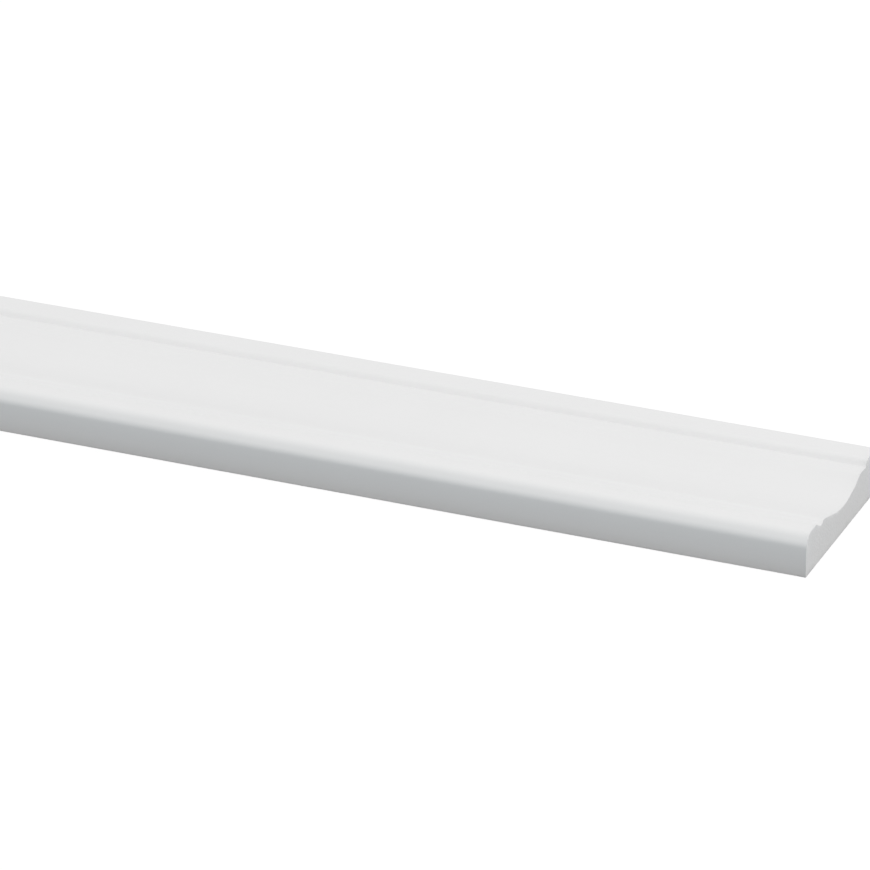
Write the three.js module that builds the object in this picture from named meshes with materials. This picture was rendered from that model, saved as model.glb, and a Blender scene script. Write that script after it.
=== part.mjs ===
// A cut length of flat decorative wall moulding: one extruded strip with a classical section.
// Millimetres, +Z up. The flat back lies on z = 0 and the strip runs along X. The eased nose is on
// the -Y side and the thick band on the +Y side. The origin is the centre of the flat back.
import * as THREE from "three";

// Overall size
const LENGTH = 400;
const WIDTH = 82;
const THICKNESS = 19;

// Nose: the front edge, eased by a round lip, a slope and a round shoulder, and the flat behind it
const NOSE_TOP = 17.8;
const NOSE_SLOPE = THREE.MathUtils.degToRad(53);
const LIP_RADIUS = 4.6;
const SHOULDER_RADIUS = 5;
const NOSE_FLAT_START = 5.65;
const NOSE_FLAT_END = 10.8;

// Quirk: the groove behind the nose, with a straight front side and a round foot
const NOSE_BACK_FALL = THREE.MathUtils.degToRad(30);
const QUIRK_RADIUS = 4;

// Roll: the small bead that rises out of the quirk
const ROLL_CREST = 20.3;
const ROLL_TOP = 15.8;
const ROLL_RADIUS = 3.5;

// Hollow: the long shallow cove across the middle
const HOLLOW_LOWEST = 43;
const HOLLOW_FLOOR = 11.2;
const HOLLOW_RADIUS = 39.5;

// Fillet, step and band: a narrow flat, a leaning riser with a small cove at its foot and a rounded edge,
// and the wide, thick flat at the rear
const FILLET_TOP = 16.3;
const RISER_SLOPE = THREE.MathUtils.degToRad(63);
const COVE_RADIUS = 0.5;
const EDGE_RADIUS = 2.6;
const BAND_WIDTH = 10;

const ARC_STEPS = 6;
const LEFT = Math.PI;
const UP = Math.PI / 2;
const DOWN = -Math.PI / 2;

// Height of the lip's centre at which the nose's slope runs from the lip into the shoulder without a kink.
function lipHeight(shoulder) {
  const across = (shoulder.x - LIP_RADIUS) * Math.tan(NOSE_SLOPE);
  const between = (SHOULDER_RADIUS - LIP_RADIUS) / Math.cos(NOSE_SLOPE);
  return shoulder.y - across + between;
}

// Centre of the quirk's round foot, which meets the nose's back and the roll without a kink.
function quirkCentre(noseBack, roll) {
  const downBack = new THREE.Vector2(Math.cos(NOSE_BACK_FALL), -Math.sin(NOSE_BACK_FALL));
  const offBack = new THREE.Vector2(Math.sin(NOSE_BACK_FALL), Math.cos(NOSE_BACK_FALL));
  const toRoll = new THREE.Vector2().subVectors(roll, noseBack);
  const apart = QUIRK_RADIUS - toRoll.dot(offBack);
  const reach = Math.sqrt((QUIRK_RADIUS + ROLL_RADIUS) ** 2 - apart ** 2);
  const foot = noseBack.clone().addScaledVector(downBack, toRoll.dot(downBack) - reach);
  return foot.addScaledVector(offBack, QUIRK_RADIUS);
}

// Slope of the straight stretch that leaves the roll and enters the hollow without a kink.
function ogeeSlope(roll, hollow) {
  const between = new THREE.Vector2().subVectors(hollow, roll);
  const crossing = Math.asin((ROLL_RADIUS + HOLLOW_RADIUS) / between.length());
  return Math.atan2(between.y, between.x) - crossing;
}

// Distance across from the cove's centre to the edge's, at which the riser meets both without a kink.
function stepRun() {
  const lean = (THICKNESS - FILLET_TOP) / Math.tan(RISER_SLOPE);
  const rounds = (COVE_RADIUS + EDGE_RADIUS) * Math.tan(RISER_SLOPE / 2);
  return lean + rounds;
}

// Section of the strip, from the lower rear corner: x across from the front face, y up from the back.
// A straight line joins each arc to the point before it.
function mouldingSection() {
  const shoulder = new THREE.Vector2(NOSE_FLAT_START, NOSE_TOP - SHOULDER_RADIUS);
  const lip = new THREE.Vector2(LIP_RADIUS, lipHeight(shoulder));
  const noseFace = UP + NOSE_SLOPE;
  const noseBack = new THREE.Vector2(NOSE_FLAT_END, NOSE_TOP);
  const roll = new THREE.Vector2(ROLL_CREST, ROLL_TOP - ROLL_RADIUS);
  const quirk = quirkCentre(noseBack, roll);
  const towardsRoll = Math.atan2(roll.y - quirk.y, roll.x - quirk.x);
  const hollow = new THREE.Vector2(HOLLOW_LOWEST, HOLLOW_FLOOR + HOLLOW_RADIUS);
  const slope = ogeeSlope(roll, hollow);
  const arris = Math.asin((FILLET_TOP - hollow.y) / HOLLOW_RADIUS);
  const edge = new THREE.Vector2(WIDTH - BAND_WIDTH, THICKNESS - EDGE_RADIUS);
  const cove = new THREE.Vector2(edge.x - stepRun(), FILLET_TOP + COVE_RADIUS);

  const section = new THREE.Shape();
  section.moveTo(WIDTH, 0);
  section.lineTo(0, 0);
  section.absarc(lip.x, lip.y, LIP_RADIUS, LEFT, noseFace, true);
  section.absarc(shoulder.x, shoulder.y, SHOULDER_RADIUS, noseFace, UP, true);
  section.lineTo(noseBack.x, noseBack.y);
  section.absarc(quirk.x, quirk.y, QUIRK_RADIUS, DOWN - NOSE_BACK_FALL, towardsRoll, false);
  section.absarc(roll.x, roll.y, ROLL_RADIUS, towardsRoll + Math.PI, UP + slope, true);
  section.absarc(hollow.x, hollow.y, HOLLOW_RADIUS, DOWN + slope, arris, false);
  section.absarc(cove.x, cove.y, COVE_RADIUS, DOWN, DOWN + RISER_SLOPE, false);
  section.absarc(edge.x, edge.y, EDGE_RADIUS, UP + RISER_SLOPE, UP, true);
  section.lineTo(WIDTH, THICKNESS);
  return section;
}

// The section is extruded along the strip, with both ends cut square.
function makeMoulding() {
  const geometry = new THREE.ExtrudeGeometry(mouldingSection(), {
    depth: LENGTH,
    bevelEnabled: false,
    curveSegments: ARC_STEPS,
  });
  const whiteFoam = new THREE.MeshStandardMaterial({
    color: 0xf1f1ef,
    roughness: 0.7,
    metalness: 0,
  });
  const moulding = new THREE.Mesh(geometry, whiteFoam);
  moulding.name = "moulding";
  // The section's x turns to +Y and its y to +Z, so that the extrusion runs along +X.
  moulding.rotation.set(Math.PI / 2, Math.PI / 2, 0);
  moulding.position.set(-LENGTH / 2, -WIDTH / 2, 0);
  return moulding;
}

const part = new THREE.Group();
part.add(makeMoulding());

export default part;
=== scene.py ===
# %% [markdown]
# # A decorative wall moulding
# The object is a cut length of flat white wall moulding, lying on its back. The real strip is hard foam
# pressed through a shaped die, so its section is the same from end to end. This lesson draws that section
# in edit mode, pulls it out into a strip, eases its edges, and gives it the finish of moulded and of sawn
# foam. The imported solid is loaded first: it fixes the size and the place, and nothing here moves it.

# %% Load the frame
import math

import bmesh
import bpy
from mathutils import Matrix, Vector


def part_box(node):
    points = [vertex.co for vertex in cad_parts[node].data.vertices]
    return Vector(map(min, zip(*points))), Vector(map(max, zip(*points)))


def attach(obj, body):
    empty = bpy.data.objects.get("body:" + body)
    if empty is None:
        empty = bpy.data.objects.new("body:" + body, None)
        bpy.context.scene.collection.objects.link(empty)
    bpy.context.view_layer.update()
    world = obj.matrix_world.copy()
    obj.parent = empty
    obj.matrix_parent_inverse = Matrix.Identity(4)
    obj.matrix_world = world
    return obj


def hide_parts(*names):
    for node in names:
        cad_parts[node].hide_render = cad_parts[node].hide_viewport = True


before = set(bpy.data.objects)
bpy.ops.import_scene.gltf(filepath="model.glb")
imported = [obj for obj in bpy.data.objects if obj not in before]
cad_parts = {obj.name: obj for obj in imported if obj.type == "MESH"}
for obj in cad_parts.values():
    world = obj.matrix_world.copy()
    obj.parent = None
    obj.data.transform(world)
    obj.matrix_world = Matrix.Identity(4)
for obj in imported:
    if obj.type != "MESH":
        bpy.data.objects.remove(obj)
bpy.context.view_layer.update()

# %% [markdown]
# ## The section
# Seen from its end, the strip has a nose at the front (an eased edge and a narrow flat), a groove called a
# quirk, a small roll, a long hollow, a narrow flat called a fillet, a low leaning step and a wide flat band.
# The step has a small cove at its foot and a rounded edge. The overall size is read from the solid. The other
# values repeat the solid's own sizes, measured across from the front face and up from the back. Four things
# follow from the rest: the lip's height, the places of quirk and cove, and the slope between roll and hollow.
# Each is worked out so that the straight stretches leave the round ones without a kink.

# %% Sizes of the section
MM = 0.001
low, high = (Vector(corner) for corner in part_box("moulding"))
LENGTH, WIDTH, THICKNESS = high - low
print("the strip is", [round(side / MM, 1) for side in (LENGTH, WIDTH, THICKNESS)], "mm")

NOSE_TOP = 17.8 * MM
NOSE_SLOPE = math.radians(53)
LIP_RADIUS = 4.6 * MM
SHOULDER_RADIUS = 5 * MM
NOSE_FLAT_START = 5.65 * MM
NOSE_FLAT_END = 10.8 * MM
NOSE_BACK_FALL = math.radians(30)
QUIRK_RADIUS = 4 * MM
ROLL_CREST = 20.3 * MM
ROLL_TOP = 15.8 * MM
ROLL_RADIUS = 3.5 * MM
HOLLOW_LOWEST = 43 * MM
HOLLOW_FLOOR = 11.2 * MM
HOLLOW_RADIUS = 39.5 * MM
FILLET_TOP = 16.3 * MM
RISER_SLOPE = math.radians(63)
COVE_RADIUS = 0.5 * MM
EDGE_RADIUS = 2.6 * MM
BAND_WIDTH = 10 * MM
SAW_EASE = 0.1 * MM


def at(across, up):
    """A point of the left end's section: across from the front face, up from the back."""
    return Vector((low.x + SAW_EASE, low.y + across, low.z + up))


def round_from(centre, radius, angle):
    """The point of a circle in the section at an angle, where zero points to the rear and 90 degrees up."""
    return centre + radius * Vector((0, math.cos(angle), math.sin(angle)))


# %% Places of the nose
UP = math.radians(90)
shoulder = at(NOSE_FLAT_START, NOSE_TOP - SHOULDER_RADIUS)
lip_rise = (SHOULDER_RADIUS - LIP_RADIUS) / math.cos(NOSE_SLOPE)
lip_drop = (NOSE_FLAT_START - LIP_RADIUS) * math.tan(NOSE_SLOPE)
lip = at(LIP_RADIUS, NOSE_TOP - SHOULDER_RADIUS + lip_rise - lip_drop)
nose_back = at(NOSE_FLAT_END, NOSE_TOP)
print("the lip's round starts", round((lip.z - low.z) / MM, 1), "mm up")

# %% Place of the quirk
roll = at(ROLL_CREST, ROLL_TOP - ROLL_RADIUS)
down_back = Vector((0, math.cos(NOSE_BACK_FALL), -math.sin(NOSE_BACK_FALL)))
off_back = Vector((0, math.sin(NOSE_BACK_FALL), math.cos(NOSE_BACK_FALL)))
to_roll = roll - nose_back
apart = QUIRK_RADIUS - to_roll.dot(off_back)
reach = math.sqrt((QUIRK_RADIUS + ROLL_RADIUS) ** 2 - apart ** 2)
quirk_foot = nose_back + (to_roll.dot(down_back) - reach) * down_back
quirk = quirk_foot + QUIRK_RADIUS * off_back
quirk_angle = math.atan2(roll.z - quirk.z, roll.y - quirk.y)
print("the quirk is", round((quirk.z - QUIRK_RADIUS - low.z) / MM, 1), "mm up at its lowest")

# %% Places of the hollow and the step
hollow = at(HOLLOW_LOWEST, HOLLOW_FLOOR + HOLLOW_RADIUS)
between = hollow - roll
ogee_slope = math.atan2(between.z, between.y) - math.asin((ROLL_RADIUS + HOLLOW_RADIUS) / between.length)
arris_angle = math.asin((FILLET_TOP - HOLLOW_FLOOR - HOLLOW_RADIUS) / HOLLOW_RADIUS)
arris = round_from(hollow, HOLLOW_RADIUS, arris_angle)

step_edge = at(WIDTH - BAND_WIDTH, THICKNESS - EDGE_RADIUS)
step_lean = (THICKNESS - FILLET_TOP) / math.tan(RISER_SLOPE)
step_rounds = (COVE_RADIUS + EDGE_RADIUS) * math.tan(RISER_SLOPE / 2)
cove = at(WIDTH - BAND_WIDTH - step_lean - step_rounds, FILLET_TOP + COVE_RADIUS)
print("the slope into the hollow is", round(math.degrees(ogee_slope), 1), "degrees")
print("the fillet is", round((cove.y - arris.y) / MM, 1), "mm wide")

# %% [markdown]
# ## Draw the outline
# A moulding's section could be traced with a curve, but a vertex that is extruded and spun, as by hand,
# gives true straight lines and true arcs from the sizes alone. The pen starts as a tiny plane merged to one
# vertex. Straight stretches are extruded in steps of about a millimetre, so that the finished strip has
# enough points to take the slight unevenness of real foam. A positive spin turns over a bulge, and a
# negative one into a hollow.

# %% Pen for lines and arcs
FACE_STEP = 1.2 * MM
ARC_STEP = math.radians(6)


def start_pen(name, point):
    """Adds a piece at the origin, in edit mode, that holds one selected vertex at the point."""
    bpy.ops.object.select_all(action="DESELECT")
    bpy.ops.mesh.primitive_plane_add(size=FACE_STEP, location=(0, 0, 0))
    piece = bpy.context.object
    piece.name = name
    piece.data.name = name
    bpy.ops.object.mode_set(mode="EDIT")
    bpy.ops.mesh.select_all(action="SELECT")
    bpy.ops.mesh.merge(type="CENTER")
    bpy.ops.transform.translate(value=point)
    return piece, point


def draw_line(pen, to):
    """Extrudes the pen's vertex straight to a point, in even steps."""
    steps = max(1, round((to - pen).length / FACE_STEP))
    for _ in range(steps):
        bpy.ops.mesh.extrude_vertices_move(TRANSFORM_OT_translate={"value": (to - pen) / steps})
    return to


def draw_arc(pen, centre, turn):
    """Spins the pen's vertex about a centre."""
    run = abs(turn) * (pen - centre).length
    steps = max(round(abs(turn) / ARC_STEP), round(run / FACE_STEP))
    bpy.ops.mesh.spin(steps=steps, angle=turn, center=centre, axis=(1, 0, 0))
    return centre + Matrix.Rotation(-turn, 3, "X") @ (pen - centre)


# %% Draw the moulding's outline
front_foot, rear_foot, rear_edge = at(0, 0), at(WIDTH, 0), at(WIDTH, THICKNESS)

moulding, pen = start_pen("white_moulding", front_foot)
pen = draw_line(pen, round_from(lip, LIP_RADIUS, 2 * UP))
pen = draw_arc(pen, lip, UP - NOSE_SLOPE)
pen = draw_line(pen, round_from(shoulder, SHOULDER_RADIUS, UP + NOSE_SLOPE))
pen = draw_arc(pen, shoulder, NOSE_SLOPE)
pen = draw_line(pen, nose_back)
pen = draw_line(pen, quirk_foot)
pen = draw_arc(pen, quirk, -(quirk_angle + UP + NOSE_BACK_FALL))
pen = draw_arc(pen, roll, quirk_angle + UP - ogee_slope)
pen = draw_line(pen, round_from(hollow, HOLLOW_RADIUS, ogee_slope - UP))
pen = draw_arc(pen, hollow, ogee_slope - UP - arris_angle)
pen = draw_line(pen, round_from(cove, COVE_RADIUS, -UP))
pen = draw_arc(pen, cove, -RISER_SLOPE)
pen = draw_line(pen, round_from(step_edge, EDGE_RADIUS, UP + RISER_SLOPE))
pen = draw_arc(pen, step_edge, RISER_SLOPE)
pen = draw_line(pen, rear_edge)
pen = draw_line(pen, rear_foot)
draw_line(pen, front_foot)

WELD = 0.01 * MM
bpy.ops.mesh.select_all(action="SELECT")
bpy.ops.mesh.remove_doubles(threshold=WELD)
bpy.ops.mesh.edge_face_add()
outline = bmesh.from_edit_mesh(moulding.data)
print("outline:", len(outline.verts), "points,", len(outline.faces), "face")

# %% [markdown]
# ## Ease the arrises
# Foam comes out of the die with no knife-sharp corner. The rounds of the section are drawn already, and a
# few corners are left: the nose's rear edge is clearly rounded, the arris of the hollow and the rear edge a
# little, and the feet hardly at all. They could be drawn as arcs too, but a bevel of vertices on the flat
# section is quicker for such small ones, and the strip then carries the rounding along its whole length.

# %% Round the section's corners
CORNER_STEPS = 4
EASED = [
    (1.0 * MM, [nose_back]),
    (0.5 * MM, [arris, rear_edge]),
    (0.15 * MM, [front_foot, rear_foot]),
]


def select_points(points):
    """Selects only the vertices that lie on the given points."""
    bpy.ops.mesh.select_all(action="DESELECT")
    mesh = bmesh.from_edit_mesh(moulding.data)
    for vertex in mesh.verts:
        vertex.select = any((vertex.co - point).length < WELD for point in points)
    mesh.select_flush_mode()
    bmesh.update_edit_mesh(moulding.data)
    return sum(vertex.select for vertex in mesh.verts)


for radius, corners in EASED:
    found = select_points(corners)
    bpy.ops.mesh.bevel(offset=radius, segments=CORNER_STEPS, affect="VERTICES")
    print("corners rounded by", round(radius / MM, 2), "mm:", found)

# %% [markdown]
# ## Pull out the strip
# One extrusion along the strip makes the solid. Each sawn end is then inset and pushed out by a tenth of a
# millimetre, which takes the razor edge off the cut as a rub with a finger does. The ends are cut into a
# grid with bisect, so that they too can be a little uneven, and the long edges are divided last, because
# every cut before that is quicker on a mesh with few faces.

# %% Extrude, and ease the sawn ends


def select_faces(wanted):
    """Selects only the faces for which the test is true, and gives their number."""
    bpy.ops.mesh.select_mode(type="FACE")
    bpy.ops.mesh.select_all(action="DESELECT")
    mesh = bmesh.from_edit_mesh(moulding.data)
    mesh.normal_update()
    for face in mesh.faces:
        face.select = wanted(face)
    mesh.select_flush_mode()
    bmesh.update_edit_mesh(moulding.data)
    return sum(face.select for face in mesh.faces)


SQUARE_ON = 0.99


def is_sawn(face):
    """True for a face of either cut end."""
    return abs(face.normal.x) > SQUARE_ON


bpy.ops.mesh.select_all(action="SELECT")
bpy.ops.mesh.extrude_region_move(TRANSFORM_OT_translate={"value": (LENGTH - 2 * SAW_EASE, 0, 0)})
bpy.ops.mesh.select_all(action="SELECT")
bpy.ops.mesh.normals_make_consistent(inside=False)
print("ends found:", select_faces(is_sawn))
bpy.ops.mesh.inset(thickness=SAW_EASE, depth=SAW_EASE)

# %% Cut the ends into a grid
END_GRID = 2 * MM


def cut_ends(normal, extent):
    """Cuts both sawn ends with evenly spaced planes that face along one axis of the section."""
    for step in range(1, round(extent / END_GRID)):
        select_faces(is_sawn)
        bpy.ops.mesh.bisect(plane_co=low + step * END_GRID * normal, plane_no=normal)


cut_ends(Vector((0, 1, 0)), WIDTH)
cut_ends(Vector((0, 0, 1)), THICKNESS)
print("faces on the ends:", select_faces(is_sawn))

# %% Divide the strip along its length
LONG_CUTS = (24, 9)


def select_long_edges():
    """Selects only the edges that run along the strip, apart from the short ones at the eased ends."""
    bpy.ops.mesh.select_mode(type="EDGE")
    bpy.ops.mesh.select_all(action="DESELECT")
    mesh = bmesh.from_edit_mesh(moulding.data)
    for edge in mesh.edges:
        start, end = (vertex.co for vertex in edge.verts)
        edge.select = abs(end.x - start.x) > 2 * FACE_STEP
    mesh.select_flush_mode()
    bmesh.update_edit_mesh(moulding.data)


for cuts in LONG_CUTS:
    select_long_edges()
    bpy.ops.mesh.subdivide(number_cuts=cuts)
bpy.ops.mesh.select_mode(type="VERT")
solid = bmesh.from_edit_mesh(moulding.data)
print("strip:", len(solid.faces), "faces, open edges:", sum(not edge.is_manifold for edge in solid.edges))

# %% [markdown]
# ## Let the foam be uneven
# A foam strip is never dead flat: it swells a little unevenly as it leaves the die, and the saw tears the
# cells at the ends. Both are a tenth of a millimetre or so. They could be sculpted, but a Displace modifier
# with a noise texture covers the whole strip evenly. Each modifier works through a vertex group, so that the
# flat back stays flat and the skin and the ends get noise of their own grain. The middle level is one, so
# the noise only sinks and the strip never grows.

# %% Mark the skin and the sawn ends


def keep_group(name, wanted):
    """Keeps the vertices for which the test is true as a vertex group of the moulding."""
    bpy.ops.mesh.select_all(action="DESELECT")
    mesh = bmesh.from_edit_mesh(moulding.data)
    for vertex in mesh.verts:
        vertex.select = wanted(vertex.co)
    mesh.select_flush_mode()
    bmesh.update_edit_mesh(moulding.data)
    bpy.ops.object.vertex_group_assign_new()
    moulding.vertex_groups.active.name = name
    print(name, "holds", sum(vertex.select for vertex in mesh.verts), "vertices")


def on_end(point):
    """True for a point of either sawn end."""
    return min(point.x - low.x, high.x - point.x) < WELD


def on_skin(point):
    """True for a point of the moulded face and edges, away from the back and the sawn ends."""
    return min(point.x - low.x, high.x - point.x) > SAW_EASE + WELD and point.z > low.z + WELD


keep_group("skin", on_skin)
keep_group("sawn_ends", on_end)
bpy.ops.object.mode_set(mode="OBJECT")

# %% Sink the noise into the foam


def sink_noise(group, grain, depth):
    """Sinks a vertex group by cloudy noise of a given grain, to a given depth."""
    clouds = bpy.data.textures.new(group + "_noise", "CLOUDS")
    clouds.noise_scale = grain
    bpy.ops.object.modifier_add(type="DISPLACE")
    noise = moulding.modifiers[-1]
    noise.texture = clouds
    noise.texture_coords = "LOCAL"
    noise.vertex_group = group
    noise.strength = depth
    noise.mid_level = 1
    bpy.ops.object.modifier_apply(modifier=noise.name)
    bpy.data.textures.remove(clouds)


sink_noise("skin", grain=45 * MM, depth=0.15 * MM)
sink_noise("sawn_ends", grain=3 * MM, depth=0.15 * MM)
SMOOTH_UNDER = math.radians(40)
bpy.ops.object.shade_smooth_by_angle(angle=SMOOTH_UNDER)
piece_low = [min(vertex.co[axis] for vertex in moulding.data.vertices) for axis in range(3)]
piece_high = [max(vertex.co[axis] for vertex in moulding.data.vertices) for axis in range(3)]
print("moulding measures", [round((b - a) / MM, 2) for a, b in zip(piece_low, piece_high)], "mm")

# %% [markdown]
# ## The grain of the foam
# All three finishes share one grain: faint lines, drawn by the die on the skin and by the saw on the ends,
# fine pebbling where the cells show through the skin, and open cells where it is cut. It could be built anew
# in each material, but as a node group it is built once. It gives a height for bump and a tone for colour
# and roughness. The lines come from noise that is squeezed one way, and each finish squeezes it to suit with
# a Mapping node of its own.

# %% The shared grain


def plug(tree, value, socket):
    """Links a socket to another, or sets it to a plain value."""
    if isinstance(value, bpy.types.NodeSocket):
        tree.links.new(value, socket)
    else:
        socket.default_value = value


def texture(tree, kind, place, scale, output):
    """Adds a procedural texture that reads a place, and gives one of its outputs."""
    node = tree.nodes.new(kind)
    plug(tree, place, node.inputs["Vector"])
    plug(tree, scale, node.inputs["Scale"])
    return node.outputs[output]


def blend(tree, share, first, second):
    """Adds a mix of two values, with a share of the second, and gives its result."""
    node = tree.nodes.new("ShaderNodeMix")
    for value, name in ((share, "Factor"), (first, "A"), (second, "B")):
        plug(tree, value, node.inputs[name])
    return node.outputs["Result"]


PATCHES_PER_METRE = 20
PATCH_SHARE = 0.5
GRAIN_INPUTS = {
    "Place": "NodeSocketVector",
    "Lines": "NodeSocketVector",
    "Grains per Metre": "NodeSocketFloat",
    "Line Share": "NodeSocketFloat",
    "Open Cells": "NodeSocketFloat",
}


def make_foam_grain():
    """Makes the node group of lines, pebbling, open cells and broad patches."""
    group = bpy.data.node_groups.new("foam_grain", "ShaderNodeTree")
    for name, kind in GRAIN_INPUTS.items():
        group.interface.new_socket(name=name, in_out="INPUT", socket_type=kind)
    for name in ("Height", "Tone"):
        group.interface.new_socket(name=name, in_out="OUTPUT", socket_type="NodeSocketFloat")
    given = group.nodes.new("NodeGroupInput").outputs
    result = group.nodes.new("NodeGroupOutput").inputs

    lines = texture(group, "ShaderNodeTexNoise", given["Lines"], 1, "Fac")
    pebbles = texture(group, "ShaderNodeTexNoise", given["Place"], given["Grains per Metre"], "Fac")
    cells = texture(group, "ShaderNodeTexVoronoi", given["Place"], given["Grains per Metre"], "Distance")
    patches = texture(group, "ShaderNodeTexNoise", given["Place"], PATCHES_PER_METRE, "Fac")
    cellular = blend(group, given["Open Cells"], pebbles, cells)
    height = blend(group, given["Line Share"], cellular, lines)
    plug(group, height, result["Height"])
    plug(group, blend(group, PATCH_SHARE, height, patches), result["Tone"])
    return group


foam_grain = make_foam_grain()
print("foam grain:", len(foam_grain.nodes), "nodes")

# %% [markdown]
# ## Three finishes of one white foam
# The strip is the same white all through. Its moulded skin is smooth and matt, with die lines along it. The
# sawn ends show open cells and upright saw lines, and are a little duller. The back, which is glued, has a
# coarser skin. They could be three unrelated materials, but one function with a few values each keeps the
# white the same and the differences plain to read.

# %% A finish from a few values
TONE_DARK, TONE_LIGHT = 0.3, 0.7
SHEEN = 0.35


def make_finish(name, shades, roughness, lines_per_metre, line_share, grains, open_cells, relief):
    """Makes a foam finish from its darkest and lightest shade, its roughness range and its grain."""
    material = bpy.data.materials.new(name)
    material.use_nodes = True
    tree = material.node_tree
    shader = tree.nodes["Principled BSDF"].inputs
    place = tree.nodes.new("ShaderNodeTexCoord").outputs["Object"]

    squeeze = tree.nodes.new("ShaderNodeMapping")
    plug(tree, place, squeeze.inputs["Vector"])
    plug(tree, lines_per_metre, squeeze.inputs["Scale"])
    grain = tree.nodes.new("ShaderNodeGroup")
    grain.node_tree = foam_grain
    values = (place, squeeze.outputs["Vector"], grains, line_share, open_cells)
    for socket, value in zip(GRAIN_INPUTS, values):
        plug(tree, value, grain.inputs[socket])

    ramp = tree.nodes.new("ShaderNodeValToRGB")
    for stop, position, shade in zip(ramp.color_ramp.elements, (TONE_DARK, TONE_LIGHT), shades):
        stop.position = position
        stop.color = (*shade, 1)
    plug(tree, grain.outputs["Tone"], ramp.inputs["Fac"])
    plug(tree, ramp.outputs["Color"], shader["Base Color"])

    gloss = tree.nodes.new("ShaderNodeMapRange")
    plug(tree, grain.outputs["Tone"], gloss.inputs["Value"])
    tones_and_roughness = (TONE_DARK, TONE_LIGHT, *roughness)
    for socket, value in zip(("From Min", "From Max", "To Min", "To Max"), tones_and_roughness):
        plug(tree, value, gloss.inputs[socket])
    plug(tree, gloss.outputs["Result"], shader["Roughness"])

    bump = tree.nodes.new("ShaderNodeBump")
    plug(tree, relief, bump.inputs["Distance"])
    plug(tree, grain.outputs["Height"], bump.inputs["Height"])
    plug(tree, bump.outputs["Normal"], shader["Normal"])
    shader["Specular IOR Level"].default_value = SHEEN
    return material


# %% Make the three finishes
moulded_skin = make_finish(
    "moulded_skin",
    shades=((0.852, 0.852, 0.852), (0.868, 0.868, 0.868)),
    roughness=(0.62, 0.5),
    lines_per_metre=(4, 900, 900),
    line_share=0.5,
    grains=1400,
    open_cells=0,
    relief=0.03 * MM,
)
sawn_foam = make_finish(
    "sawn_foam",
    shades=((0.80, 0.80, 0.80), (0.87, 0.87, 0.87)),
    roughness=(0.85, 0.7),
    lines_per_metre=(900, 900, 40),
    line_share=0.35,
    grains=1100,
    open_cells=0.7,
    relief=0.12 * MM,
)
rough_back = make_finish(
    "rough_back",
    shades=((0.82, 0.82, 0.82), (0.87, 0.87, 0.87)),
    roughness=(0.8, 0.65),
    lines_per_metre=(12, 350, 350),
    line_share=0.5,
    grains=800,
    open_cells=0.3,
    relief=0.08 * MM,
)
finishes = (moulded_skin, sawn_foam, rough_back)
print("finishes:", [finish.name for finish in finishes])

# %% Put the finishes on
for finish in finishes:
    moulding.data.materials.append(finish)
bpy.ops.object.mode_set(mode="EDIT")
FACING_DOWN = -0.9


def assign_selected(finish):
    """Gives a finish to the selected faces."""
    moulding.active_material_index = finishes.index(finish)
    bpy.ops.object.material_slot_assign()


print("faces on the back:", select_faces(lambda face: face.normal.z < FACING_DOWN))
assign_selected(rough_back)
bpy.ops.mesh.select_mode(type="VERT")
bpy.ops.mesh.select_all(action="DESELECT")
bpy.ops.object.vertex_group_set_active(group="sawn_ends")
bpy.ops.object.vertex_group_select()
assign_selected(sawn_foam)
bpy.ops.object.mode_set(mode="OBJECT")
on_ends = [face for face in moulding.data.polygons if face.material_index == finishes.index(sawn_foam)]
print("sawn faces:", len(on_ends))

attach(moulding, "root")
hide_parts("moulding")

# %% [markdown]
# ## Floor and light
# The strip lies on a white studio sweep under an even overhead light. The sweep is so bright that it burns
# out, yet the front of the strip stays grey, so little light comes back up from it. A real studio does that
# with a lit translucent table and black cards. Here the floor glows for the camera alone. For the light that
# bounces to the strip it is black close by, and brightens to a cool grey in front of the strip and behind
# it, which shades the front face from bluish grey above to darker below. One softbox from the right
# brightens the sawn end, and a weak one at the front shapes the nose.

# %% Lay the floor
FLOOR_RADIUS = 12
FLOOR_SIDES = 96
FLOOR_GAP = 0.02 * MM

bpy.ops.mesh.primitive_circle_add(
    vertices=FLOOR_SIDES, radius=FLOOR_RADIUS, fill_type="NGON", location=(0, 0, low.z - FLOOR_GAP)
)
floor = bpy.context.object
floor.name = "studio_floor"
print("floor of", FLOOR_RADIUS, "m radius,", round(FLOOR_GAP / MM, 2), "mm below the strip")

# %% Plain shaders, and a mix for the camera


def shader_node(tree, kind, colour, strength=None):
    """Adds a shader of one plain colour, and gives its output."""
    node = tree.nodes.new(kind)
    node.inputs["Color"].default_value = (*colour, 1)
    if strength is not None:
        node.inputs["Strength"].default_value = strength
    return node.outputs[0]


def for_camera_alone(tree, others, camera):
    """Mixes two shaders: one that only the camera sees, and one for all other light."""
    mix = tree.nodes.new("ShaderNodeMixShader")
    plug(tree, tree.nodes.new("ShaderNodeLightPath").outputs["Is Camera Ray"], mix.inputs["Fac"])
    plug(tree, others, mix.inputs[1])
    plug(tree, camera, mix.inputs[2])
    return mix.outputs["Shader"]


# %% Make the white sweep
WHITE = (1, 1, 1)
FLOOR_GLOW = 0.85
FLOOR_SHADED = (0.2, 0.2, 0.2)
FLOOR_GREY = (0.25, 0.31, 0.34)
FOOT_SHADE = 30 * MM

white_sweep = bpy.data.materials.new("white_sweep")
white_sweep.use_nodes = True
sweep = white_sweep.node_tree
sweep.nodes.remove(sweep.nodes["Principled BSDF"])
glow = sweep.nodes.new("ShaderNodeAddShader")
plug(sweep, shader_node(sweep, "ShaderNodeEmission", WHITE, FLOOR_GLOW), glow.inputs[0])
plug(sweep, shader_node(sweep, "ShaderNodeBsdfDiffuse", FLOOR_SHADED), glow.inputs[1])

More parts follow.
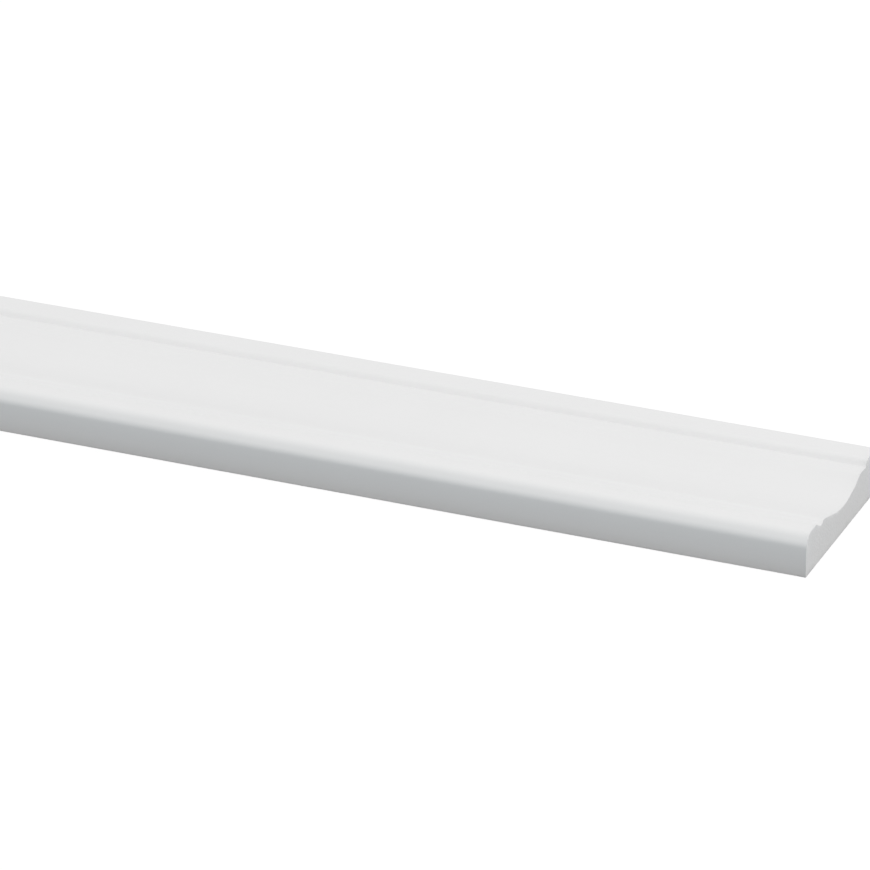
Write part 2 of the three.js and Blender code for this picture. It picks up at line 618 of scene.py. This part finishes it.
floor_place = sweep.nodes.new("ShaderNodeSeparateXYZ")
plug(sweep, sweep.nodes.new("ShaderNodeTexCoord").outputs["Object"], floor_place.inputs["Vector"])
away = sweep.nodes.new("ShaderNodeMath")
away.operation = "ABSOLUTE"
plug(sweep, floor_place.outputs["Y"], away.inputs["Value"])
card = sweep.nodes.new("ShaderNodeMapRange")
plug(sweep, away.outputs["Value"], card.inputs["Value"])
plug(sweep, high.y, card.inputs["From Min"])
plug(sweep, high.y + FOOT_SHADE, card.inputs["From Max"])
dark_to_grey = sweep.nodes.new("ShaderNodeValToRGB")
dark_to_grey.color_ramp.elements[1].color = (*FLOOR_GREY, 1)
plug(sweep, card.outputs["Result"], dark_to_grey.inputs["Fac"])
bounce = sweep.nodes.new("ShaderNodeBsdfDiffuse")
plug(sweep, dark_to_grey.outputs["Color"], bounce.inputs["Color"])

surface = for_camera_alone(sweep, bounce.outputs["BSDF"], glow.outputs["Shader"])
plug(sweep, surface, sweep.nodes["Material Output"].inputs["Surface"])
floor.data.materials.append(white_sweep)
print("white sweep:", len(sweep.nodes), "nodes")

# %% Light the dome
DOME_STRENGTH = 0.774

world = bpy.data.worlds.new("overhead_light")
world.use_nodes = True
bpy.context.scene.world = world
sky = world.node_tree
sky.nodes.remove(sky.nodes["Background"])
dome = shader_node(sky, "ShaderNodeBackground", WHITE, DOME_STRENGTH)
white = shader_node(sky, "ShaderNodeBackground", WHITE, 1)
plug(sky, for_camera_alone(sky, dome, white), sky.nodes["World Output"].inputs["Surface"])
print("dome:", len(sky.nodes), "nodes, strength", DOME_STRENGTH)

# %% Place the softboxes
SOFTBOX_DISTANCE = 6
SOFTBOX_SIZE = 6


def direction(azimuth, elevation):
    """The direction from the strip to a light or camera: round from the front to the right, then up."""
    turn, rise = math.radians(azimuth), math.radians(elevation)
    return Vector((math.sin(turn) * math.cos(rise), -math.cos(turn) * math.cos(rise), math.sin(rise)))


def aim(item, towards, target, distance):
    """Places an object at a distance from a target and turns it to face the target."""
    item.location = target + distance * towards
    item.rotation_euler = towards.to_track_quat("Z", "Y").to_euler()


def softbox(name, azimuth, elevation, power):
    """Adds a large soft white light that the camera doesn't see."""
    bpy.ops.object.light_add(type="AREA")
    lamp = bpy.context.object
    lamp.name = name
    lamp.data.size = SOFTBOX_SIZE
    lamp.data.energy = power
    lamp.visible_camera = False
    aim(lamp, direction(azimuth, elevation), (low + high) / 2, SOFTBOX_DISTANCE)
    print(name, "at", power, "W")


softbox("right_softbox", azimuth=90, elevation=30, power=160)
softbox("front_softbox", azimuth=-10, elevation=24, power=16.5)

# %% [markdown]
# ## Camera
# The photograph was taken with a long lens from the right of the strip's front, looking down at about 25
# degrees. These values were fitted to the strip's long edges and its cut end. White paper should come out
# white, so the plain Standard view is used in place of a filmic one.

# %% Place the camera
CAMERA_AZIMUTH = 22.53
CAMERA_ELEVATION = 25.39
CAMERA_TARGET = Vector((20.26, 22.345, 0)) * MM
CAMERA_DISTANCE = 2500 * MM
SENSOR_WIDTH = 36
LENS = 258.18

bpy.ops.object.camera_add()
camera = bpy.context.object
camera.name = "photo_camera"
camera.data.sensor_width = SENSOR_WIDTH
camera.data.lens = LENS
aim(camera, direction(CAMERA_AZIMUTH, CAMERA_ELEVATION), CAMERA_TARGET, CAMERA_DISTANCE)
bpy.context.scene.camera = camera
bpy.context.scene.view_settings.view_transform = "Standard"
print("camera", round(CAMERA_DISTANCE, 2), "m away with a", LENS, "mm lens")
